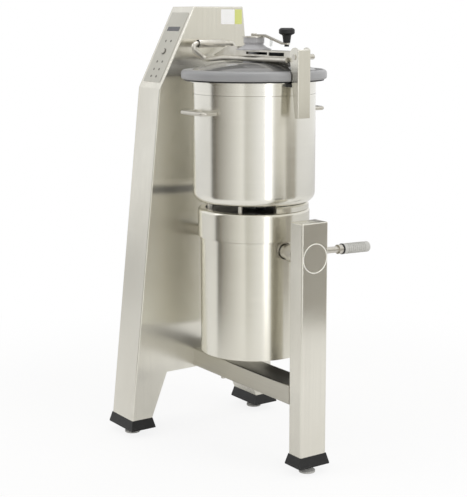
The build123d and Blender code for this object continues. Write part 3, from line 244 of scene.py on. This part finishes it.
def sprayed_coat(name, tone, light_tone, rough, pebble_mm):
    """Powder coat or enamel sprayed over cast or rolled metal.

    The eye sees a slightly pebbled skin, with dust lying paler on it; pebble_mm is the skin's
    orange peel.
    """
    material, tree = new_material(name)
    coords = add(tree, "ShaderNodeTexCoord")
    pebble = add(tree, "ShaderNodeTexNoise", {"Vector": coords.outputs["Object"],
                                              "Scale": 1 / (pebble_mm * MM), "Detail": 4.0})
    dust = add(tree, "ShaderNodeTexNoise", {"Vector": coords.outputs["Object"], "Scale": 14.0, "Detail": 4.0})
    share = add(tree, "ShaderNodeMapRange", {"Value": dust.outputs["Fac"], "From Min": 0.4, "From Max": 0.75})
    colour = add(tree, "ShaderNodeMix", {"Factor": share.outputs[0], 6: linear(tone), 7: linear(light_tone)},
                 data_type="RGBA")
    dulled = add(tree, "ShaderNodeMapRange", {"Value": share.outputs[0], "To Min": rough - 0.06,
                                              "To Max": rough + 0.08})
    bump = add(tree, "ShaderNodeBump", {"Height": pebble.outputs["Fac"], "Distance": pebble_depth_mm * MM})
    shader = add(tree, "ShaderNodeBsdfPrincipled", {
        "Base Color": colour.outputs[2], "Roughness": dulled.outputs[0], "Normal": bump.outputs[0]})
    add(tree, "ShaderNodeOutputMaterial", {"Surface": shader.outputs[0]})
    return material


sheet_steel = linished_sheet("linished_304_sheet", "#e6e4db", "#dcd9cf", (5.0, 5.0, 600.0), 0.26, 0.86)
beam_steel = linished_sheet("linished_304_tube", "#c3c0b6", "#b8b5aa", (600.0, 5.0, 5.0), 0.32, 0.5)
# The last figures of the bowl and the jacket are the heights of their dark lines: joints, with painted shadow
# under a band's edge.
bowl_steel = spun_steel("polished_304_bowl", "#edebe3", "#e5e3da", 1.4, 0.225, 0.62, (1136.0,))
motor_steel = spun_steel("polished_304_motor_jacket", "#e6e4da", "#dedbd0", 1.6, 0.235, 0.6, (693.0,))
arm_steel = satin_steel("satin_304_drawn_tube", "#d3d0c8", "#c6c2b8", 0.30, 24.0)
fitting_steel = satin_steel("machined_304_fittings", "#d2cfc7", "#c5c1b8", 0.30, 16.0)
# Near white and rough, so that it shows bright from every side: a painted highlight on the bearing's turned
# edge.
painted_highlight_edge_steel = satin_steel("turned_304_edge_painted_highlight", "#fbfaf5", "#f2f0ea", 0.46, 16.0)
blade_steel = satin_steel("ground_420_blade_steel", "#dadad8", "#cfcfcc", 0.16, 12.0)
shaft_steel = satin_steel("ground_shaft_steel", "#c8c8c6", "#bcbcb9", 0.24, 12.0)
black_nylon = moulded_plastic("moulded_black_nylon", "#070708", "#0d0d0f", 0.48, 0.9)
foot_plastic = moulded_plastic("moulded_pale_pad_plastic", "#c6c5c1", "#d0cfcb", 0.5, 0.9)
lid_plastic = moulded_plastic("moulded_grey_polypropylene", "#939394", "#9b9b9b", 0.34, 0.9)
grip_plastic = moulded_plastic("moulded_light_grey_grip", "#bab9b4", "#c2c1bc", 0.5, 0.7)
hub_plastic = moulded_plastic("moulded_pale_grey_hub", "#aeadae", "#b6b5b6", 0.34, 0.8)
dome_plastic = clear_plastic("smoky_polycarbonate_dome", "#9b9a97", "#929190", 0.45, 0.10, 90.0)
tab_plastic = clear_plastic("clear_acrylic_tab", "#eceeec", "#e2e4e2", 0.85, 0.04, 20.0)
seal_rubber = moulded_plastic("black_silicone_seal", "#0e0e10", "#161618", 0.5, 0.7)
panel_film = moulded_plastic("matt_polyester_panel_film", "#b7b5ab", "#bebcb2", 0.4, 0.5)
display_film = moulded_plastic("dark_acrylic_display", "#3a3a40", "#444449", 0.16, 0.6, 0.6)
key_film = moulded_plastic("embossed_dark_key_film", "#6a6861", "#74726b", 0.45, 0.5)
button_plastic = moulded_plastic("moulded_pale_button", "#b9b6ac", "#c1beb4", 0.4, 0.5)
label_paper = moulded_plastic("coated_white_label_paper", "#ffffff", "#fcfcfa", 0.45, 0.6)
strip_paper = moulded_plastic("coated_yellow_green_label_paper", "#dfe48a", "#d8de80", 0.45, 0.6)
# Dark powder coat for the motor's plates; the same near-black also paints the shade behind the lid arm's
# slots.
dark_coat_and_shade_plate = sprayed_coat("dark_powder_coat_and_painted_shade", "#232326", "#2e2e31", 0.5, 1.2)
casting = sprayed_coat("grey_cast_aluminium_enamel", "#54575a", "#626568", 0.5, 1.6)
laminations = sprayed_coat("varnished_iron_laminations", "#5c5650", "#6b645d", 0.55, 0.7)
board_green = sprayed_coat("solder_masked_circuit_board", "#2c5a3c", "#376648", 0.45, 1.5)
drive_case = sprayed_coat("coated_drive_unit_case", "#3a3d42", "#464a50", 0.5, 1.4)


# CAD nodes that keep their own mesh

node_materials = {
    sheet_steel: ["column", "rear_cover", "post", "post_cap", "hinge_bracket", "post_bearing"],
    beam_steel: ["crossbeam"],
    bowl_steel: ["bowl"],
    motor_steel: ["motor_housing", "motor_band", "bowl_rest"],
    arm_steel: ["bowl_handles", "lid_arm", "lid_handle", "handle_grip", "crank_arm"],
    fitting_steel: ["cover_screws", "bonding_bolt", "levelling_studs", "column_bearing", "column_trunnion",
                    "post_trunnion", "tilt_lever", "bowl_lugs", "hinge_pin", "cutter_cap", "cutter_hub",
                    "crank_shaft", "hub_plate"],
    blade_steel: ["cutter_blades"],
    shaft_steel: ["drive_shaft", "shaft_bearings"],
    black_nylon: ["column_feet", "post_foot", "hinge_block", "crank_knob", "cable_gland"],
    foot_plastic: ["levelling_pads"],
    lid_plastic: ["lid_rim"],
    hub_plastic: ["crank_hub"],
    grip_plastic: ["lever_grip"],
    dome_plastic: ["lid_dome"],
    tab_plastic: ["crank_tab", "wiper_blade"],
    seal_rubber: ["lid_seal", "shaft_seal"],
    panel_film: ["control_panel"],
    display_film: ["display_window"],
    key_film: ["keypad", "button_bezel"],
    button_plastic: ["start_button"],
    dark_coat_and_shade_plate: ["motor_top_plate", "motor_base_plate"],
    casting: ["motor_frame", "lower_shield", "cooling_fan"],
    laminations: ["stator", "motor_rotor"],
    board_green: ["control_board"],
    drive_case: ["inverter"],
}


def dress_nodes():
    """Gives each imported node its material."""
    for material, names in node_materials.items():
        for name in names:
            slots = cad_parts[name].data.materials
            slots.clear()
            slots.append(material)


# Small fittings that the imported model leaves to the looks

weld_mm = 0.001
sharp_degrees = 35


def finish_piece(name, mesh, material, body):
    """Closes a piece's seams, turns its faces outwards and lets it ride on a body."""
    bmesh.ops.remove_doubles(mesh, verts=mesh.verts, dist=weld_mm * MM)
    bmesh.ops.recalc_face_normals(mesh, faces=mesh.faces)
    piece = bpy.data.objects.new(name, bpy.data.meshes.new(name))
    mesh.to_mesh(piece.data)
    mesh.free()
    piece.data.shade_smooth()
    piece.data.set_sharp_from_angle(angle=math.radians(sharp_degrees))
    piece.data.materials.append(material)
    bpy.context.scene.collection.objects.link(piece)
    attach(piece, body)
    return piece


def spun_ring(section, centre, axis):
    """A closed section of (radius, height) points spun round an axis through centre, in millimetres."""
    mesh = bmesh.new()
    corners = [mesh.verts.new((radius * MM, 0, height * MM)) for radius, height in section]
    edges = [mesh.edges.new((a, b)) for a, b in zip(corners, corners[1:] + corners[:1])]
    bmesh.ops.spin(mesh, geom=corners + edges, cent=(0, 0, 0), axis=(0, 0, 1), angle=2 * math.pi,
                   steps=ring_steps, use_merge=True)
    lean = Vector((0, 0, 1)).rotation_difference(Vector(axis)).to_matrix()
    bmesh.ops.rotate(mesh, verts=mesh.verts, matrix=lean)
    bmesh.ops.translate(mesh, verts=mesh.verts, vec=(Vector(centre) + bowl_axis) * MM)
    return mesh


def round_section(radius, thickness, parts=10):
    """A wire's round section at a radius."""
    turns = [2 * math.pi * part / parts for part in range(parts)]
    return [(radius + thickness * math.cos(t), thickness * math.sin(t)) for t in turns]


bearing_centre = (311.0, 0.0, 665.0)
bearing_edge_radius = 43.5
bearing_edge_wire = 1.6
lever_place = (214.0, 0.0, 665.0)
lever_droop = 1.6
lever_gap_reach = 181.5
lever_ring_section = ((10.4, -2.5), (15.6, -2.5), (16.8, -1.5), (16.8, 1.5), (15.6, 2.5), (10.4, 2.5))
sleeve_middle = (-222.0, -10.0, 1283.0)
sleeve_section = ((8.1, -44.0), (11.4, -44.0), (11.6, -49.0), (12.2, -50.0), (12.8, -49.4), (13.0, -48.6),
                  (13.0, 48.6), (12.8, 49.4), (12.2, 50.0), (8.1, 50.0))
sleeve_ring = (-222.0, -55.4, 1283.0)
sleeve_ring_section = ((8.2, -1.4), (11.3, -1.4), (11.3, 1.4), (8.2, 1.4))
label_face_x = -278.0
label_thickness = 0.25
label_corner = 3.0
label_low_z, label_high_z = 1343.0, 1391.0
# A dark strip behind the lid arm's slots: painted shade, where the far wall's inside is only in shadow.
arm_painted_shade_strip_x = (-20.0, 182.0)
arm_painted_shade_strip_z = (1248.0, 1263.0)
arm_painted_shade_strip_y = (14.6, 15.8)
arm_painted_shade_strip_edge = 0.3


def bearing_edge():
    """Turned edge round the pivot's bearing, on the post's outer face, near white all round as a painted
    highlight.
    """
    mesh = spun_ring(round_section(bearing_edge_radius, bearing_edge_wire), bearing_centre, (1, 0, 0))
    finish_piece("bearing_edge", mesh, painted_highlight_edge_steel, "stand")


def lever_ring():
    """Black rubber ring between the lever's collar and its grip."""
    droop = math.radians(lever_droop)
    along = Vector((0, math.cos(droop), -math.sin(droop)))
    centre = Vector(lever_place) + along * lever_gap_reach
    mesh = spun_ring(lever_ring_section, centre, along)
    finish_piece("lever_ring", mesh, black_nylon, "motor_unit")


def grip_sleeve():
    """Steel sleeve over the lid handle's cross part, open at its near end, with a dark ring in it."""
    sleeve = spun_ring(sleeve_section, sleeve_middle, (0, 1, 0))
    piece = finish_piece("grip_sleeve", sleeve, arm_steel, "lid")
    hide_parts("handle_grip")
    ring = spun_ring(sleeve_ring_section, sleeve_ring, (0, 1, 0))
    finish_piece("sleeve_ring", ring, black_nylon, "lid")


def blank_label(name, y0, y1, material):
    """Thin blank label with rounded corners on the column's inner face."""
    mesh = bmesh.new()
    bmesh.ops.create_grid(mesh, x_segments=1, y_segments=1, size=0.5)
    width, height = (y1 - y0) * MM, (label_high_z - label_low_z) * MM
    bmesh.ops.scale(mesh, verts=mesh.verts, vec=(width, height, 1))
    bmesh.ops.bevel(mesh, geom=mesh.verts[:], affect="VERTICES", offset=label_corner * MM, segments=4,
                    profile=0.5, material=-1)
    face = bmesh.ops.extrude_face_region(mesh, geom=mesh.faces[:])
    raised = [part for part in face["geom"] if isinstance(part, bmesh.types.BMVert)]
    bmesh.ops.translate(mesh, verts=raised, vec=(0, 0, label_thickness * MM))
    stand_up = Matrix(((0, 0, 1), (1, 0, 0), (0, 1, 0)))
    bmesh.ops.rotate(mesh, verts=mesh.verts, matrix=stand_up)
    middle = Vector((label_face_x, (y0 + y1) / 2, (label_low_z + label_high_z) / 2))
    bmesh.ops.translate(mesh, verts=mesh.verts, vec=(middle + bowl_axis) * MM)
    finish_piece(name, mesh, material, "stand")


def arm_painted_shade_strip():
    """Dark strip inside the lid arm's far wall that closes its slots from behind: painted shade, where there
    is only shadow.
    """
    mesh = bmesh.new()
    bmesh.ops.create_cube(mesh, size=1.0)
    spans = (arm_painted_shade_strip_x, arm_painted_shade_strip_y, arm_painted_shade_strip_z)
    bmesh.ops.scale(mesh, verts=mesh.verts, vec=[(high - low) * MM for low, high in spans])
    bmesh.ops.bevel(mesh, geom=mesh.edges[:], affect="EDGES", offset=arm_painted_shade_strip_edge * MM, segments=2,
                    profile=0.5, material=-1)
    middle = Vector([(low + high) / 2 for low, high in spans])
    bmesh.ops.translate(mesh, verts=mesh.verts, vec=(middle + bowl_axis) * MM)
    finish_piece("arm_painted_shade_strip", mesh, dark_coat_and_shade_plate, "lid")


# Studio: shadow_reach and white_from are distances on the floor between which it turns pure white

floor_reach = 9.0
shadow_reach, white_from = 0.9, 2.0
floor_glow = 0.86
floor_mirrored = 0.12
card_distance = 1.7
card_foot, card_split, card_top = 0.0, 0.95, 2.6
low_card_foot, foot_card_top = 0.12, 0.60
even_light = 0.62
mirrored_light = 0.34


def studio_floor():
    """Pale seamless paper, white to the camera, that still takes a soft shadow and has no far edge."""
    material, tree = new_material("pale_seamless_paper")
    coords = add(tree, "ShaderNodeTexCoord")
    fibre = add(tree, "ShaderNodeTexNoise", {"Vector": coords.outputs["Object"], "Scale": 40.0,
                                             "Detail": 3.0})
    colour = add(tree, "ShaderNodeMix", {"Factor": fibre.outputs["Fac"], 6: linear("#f0efed"),
                                         7: linear("#f6f5f3")}, data_type="RGBA")
    paper = add(tree, "ShaderNodeBsdfPrincipled", {"Base Color": colour.outputs[2], "Roughness": 0.9})
    glow = add(tree, "ShaderNodeEmission", {"Color": (1, 1, 1, 1), "Strength": 1.0})
    reach = add(tree, "ShaderNodeVectorMath", {0: coords.outputs["Object"]}, operation="LENGTH")
    seen = add(tree, "ShaderNodeMapRange", {"Value": reach.outputs["Value"], "From Min": shadow_reach,
                                            "From Max": white_from, "To Min": floor_glow,
                                            "To Max": 1.0}, interpolation_type="SMOOTHSTEP")
    rays = add(tree, "ShaderNodeLightPath")
    to_camera = add(tree, "ShaderNodeMath", {0: rays.outputs["Is Camera Ray"], 1: seen.outputs[0]},
                    operation="MULTIPLY")
    mirrored = add(tree, "ShaderNodeMath", {0: rays.outputs["Is Glossy Ray"], 1: floor_mirrored},
                   operation="MULTIPLY")
    share = add(tree, "ShaderNodeMath", {0: to_camera.outputs[0], 1: mirrored.outputs[0]}, operation="ADD")
    mixed = add(tree, "ShaderNodeMixShader", {0: share.outputs[0], 1: paper.outputs[0], 2: glow.outputs[0]})
    add(tree, "ShaderNodeOutputMaterial", {"Surface": mixed.outputs[0]})
    mesh = bmesh.new()
    bmesh.ops.create_grid(mesh, x_segments=1, y_segments=1, size=floor_reach)
    floor = bpy.data.objects.new("floor", bpy.data.meshes.new("floor"))
    mesh.to_mesh(floor.data)
    mesh.free()
    floor.data.materials.append(material)
    bpy.context.scene.collection.objects.link(floor)


def studio_card(name, start, end, low, high, first_shade, last_shade):
    """Curved grey card out of the picture, shaded along its length, that the polished steel mirrors.

    start and end are its bearings in degrees; low and high are its edges' heights.
    """
    material, tree = new_material("grey_card_" + name)
    coords = add(tree, "ShaderNodeTexCoord")
    parts = add(tree, "ShaderNodeSeparateXYZ", {"Vector": coords.outputs["Object"]})
    bearing = add(tree, "ShaderNodeMath", {0: parts.outputs["Y"], 1: parts.outputs["X"]}, operation="ARCTAN2")
    share = add(tree, "ShaderNodeMapRange", {"Value": bearing.outputs[0], "From Min": math.radians(start),
                                             "From Max": math.radians(end)})
    tone = add(tree, "ShaderNodeMix", {"Factor": share.outputs[0], 6: linear(first_shade),
                                       7: linear(last_shade)}, data_type="RGBA")
    glow = add(tree, "ShaderNodeEmission", {"Color": tone.outputs[2], "Strength": 1.0})
    add(tree, "ShaderNodeOutputMaterial", {"Surface": glow.outputs[0]})
    mesh = bmesh.new()
    edge = math.radians(start)
    place = (card_distance * math.cos(edge), card_distance * math.sin(edge))
    foot = mesh.verts.new((*place, low))
    head = mesh.verts.new((*place, high))
    side = mesh.edges.new((foot, head))
    bmesh.ops.spin(mesh, geom=[foot, head, side], cent=(0, 0, 0), axis=(0, 0, 1),
                   angle=math.radians(end - start), steps=24)
    card = bpy.data.objects.new("card_" + name, bpy.data.meshes.new("card_" + name))
    mesh.to_mesh(card.data)
    mesh.free()
    card.data.materials.append(material)
    bpy.context.scene.collection.objects.link(card)
    card.visible_camera = False
    card.visible_diffuse = False
    card.visible_shadow = False
    card.visible_transmission = False


def studio_lamp(name, place, aim, size, power):
    """Soft box that hangs at a place and looks at aim."""
    data = bpy.data.lights.new(name, "AREA")
    data.shape = "RECTANGLE"
    data.size, data.size_y = size
    data.energy = power
    lamp = bpy.data.objects.new(name, data)
    lamp.location = place
    lamp.rotation_euler = (Vector(aim) - Vector(place)).to_track_quat("-Z", "Y").to_euler()
    bpy.context.scene.collection.objects.link(lamp)


def studio_world():
    """Even pale light, white to the camera and nearly white to the steel that mirrors it."""
    world = bpy.data.worlds.new("white_studio")
    bpy.context.scene.world = world
    world.use_nodes = True
    tree = world.node_tree
    tree.nodes.clear()
    rays = add(tree, "ShaderNodeLightPath")
    seen = add(tree, "ShaderNodeMath", {0: rays.outputs["Is Camera Ray"],
                                        1: rays.outputs["Is Transmission Ray"]}, operation="MAXIMUM")
    strength = add(tree, "ShaderNodeMapRange", {"Value": seen.outputs[0], "To Min": even_light,
                                                "To Max": 1.0})
    mirrored = add(tree, "ShaderNodeMath", {0: rays.outputs["Is Glossy Ray"], 1: mirrored_light},
                   operation="MULTIPLY")
    total = add(tree, "ShaderNodeMath", {0: strength.outputs[0], 1: mirrored.outputs[0]}, operation="ADD",
                use_clamp=True)
    back = add(tree, "ShaderNodeBackground", {"Color": (1, 1, 1, 1), "Strength": total.outputs[0]})
    add(tree, "ShaderNodeOutputWorld", {"Surface": back.outputs[0]})


camera_place = (3.1565, -2.2260, 1.3651)
camera_turn = (55.598, 9.698, -0.11)
image_width, image_height = 467, 497
focal_px = 1234.9
centre_px = (227.4, 228.4)
sensor_width = 36.0
clip_end = 60


def studio_camera():
    """The photograph's view: worked out by fitting seen corners of the stand to the photograph."""
    yaw, pitch, roll = (math.radians(angle) for angle in camera_turn)
    back = Vector((math.sin(yaw) * math.cos(pitch), -math.cos(yaw) * math.cos(pitch), math.sin(pitch)))
    right = Vector((math.cos(yaw), math.sin(yaw), 0))
    up = back.cross(right)
    turn = Matrix((right, up, back)).transposed() @ Matrix.Rotation(roll, 3, "Z")
    data = bpy.data.cameras.new("camera")
    data.sensor_fit = "HORIZONTAL"
    data.sensor_width = sensor_width
    data.lens = focal_px / image_width * data.sensor_width
    data.shift_x = (image_width / 2 - centre_px[0]) / image_width
    data.shift_y = (centre_px[1] - image_height / 2) / image_width
    data.clip_end = clip_end
    camera = bpy.data.objects.new("camera", data)
    camera.matrix_world = Matrix.Translation(camera_place) @ turn.to_4x4()
    bpy.context.scene.collection.objects.link(camera)
    bpy.context.scene.camera = camera


dress_nodes()
bearing_edge()
lever_ring()
grip_sleeve()
arm_painted_shade_strip()
blank_label("blank_white_label", 67.0, 121.0, label_paper)
blank_label("blank_yellow_label", 121.5, 150.0, strip_paper)
studio_floor()
studio_card("back_left", 132, 180, card_foot, card_top, "#262219", "#2b271f")
studio_card("left_dark", -115, -104, card_foot, card_top, "#433e36", "#69645a")
studio_card("left_pale", -104, -52, card_foot, card_top, "#827d73", "#fbfaf6")
studio_card("front", -50, -18, card_foot, card_top, "#cbc9c1", "#ffffff")
studio_card("right_foot", 0, 19, low_card_foot, foot_card_top, "#2f2b25", "#48433a")
studio_card("right", 1, 22, foot_card_top, card_top, "#d6d3ca", "#e2dfd6")
studio_card("right_low", 22, 44, low_card_foot, card_split, "#8a857a", "#a5a095")
studio_card("right_high", 22, 50, card_split, card_top, "#d8d5cc", "#ecebe6")
studio_world()
studio_lamp("key", (-1.2, -3.6, 3.2), (0, 0, 0.8), (2.4, 2.4), 42)
studio_lamp("fill", (3.8, 1.6, 3.0), (0, 0, 0.8), (2.4, 2.4), 50)
studio_lamp("top", (0.2, 0.2, 4.2), (0, 0, 0.8), (2.2, 2.2), 30)
studio_lamp("strip", (2.57, -0.41, 1.1), (0, 0, 1.0), (0.42, 2.2), 5)
studio_camera()

bpy.context.scene.view_settings.view_transform = "Standard"
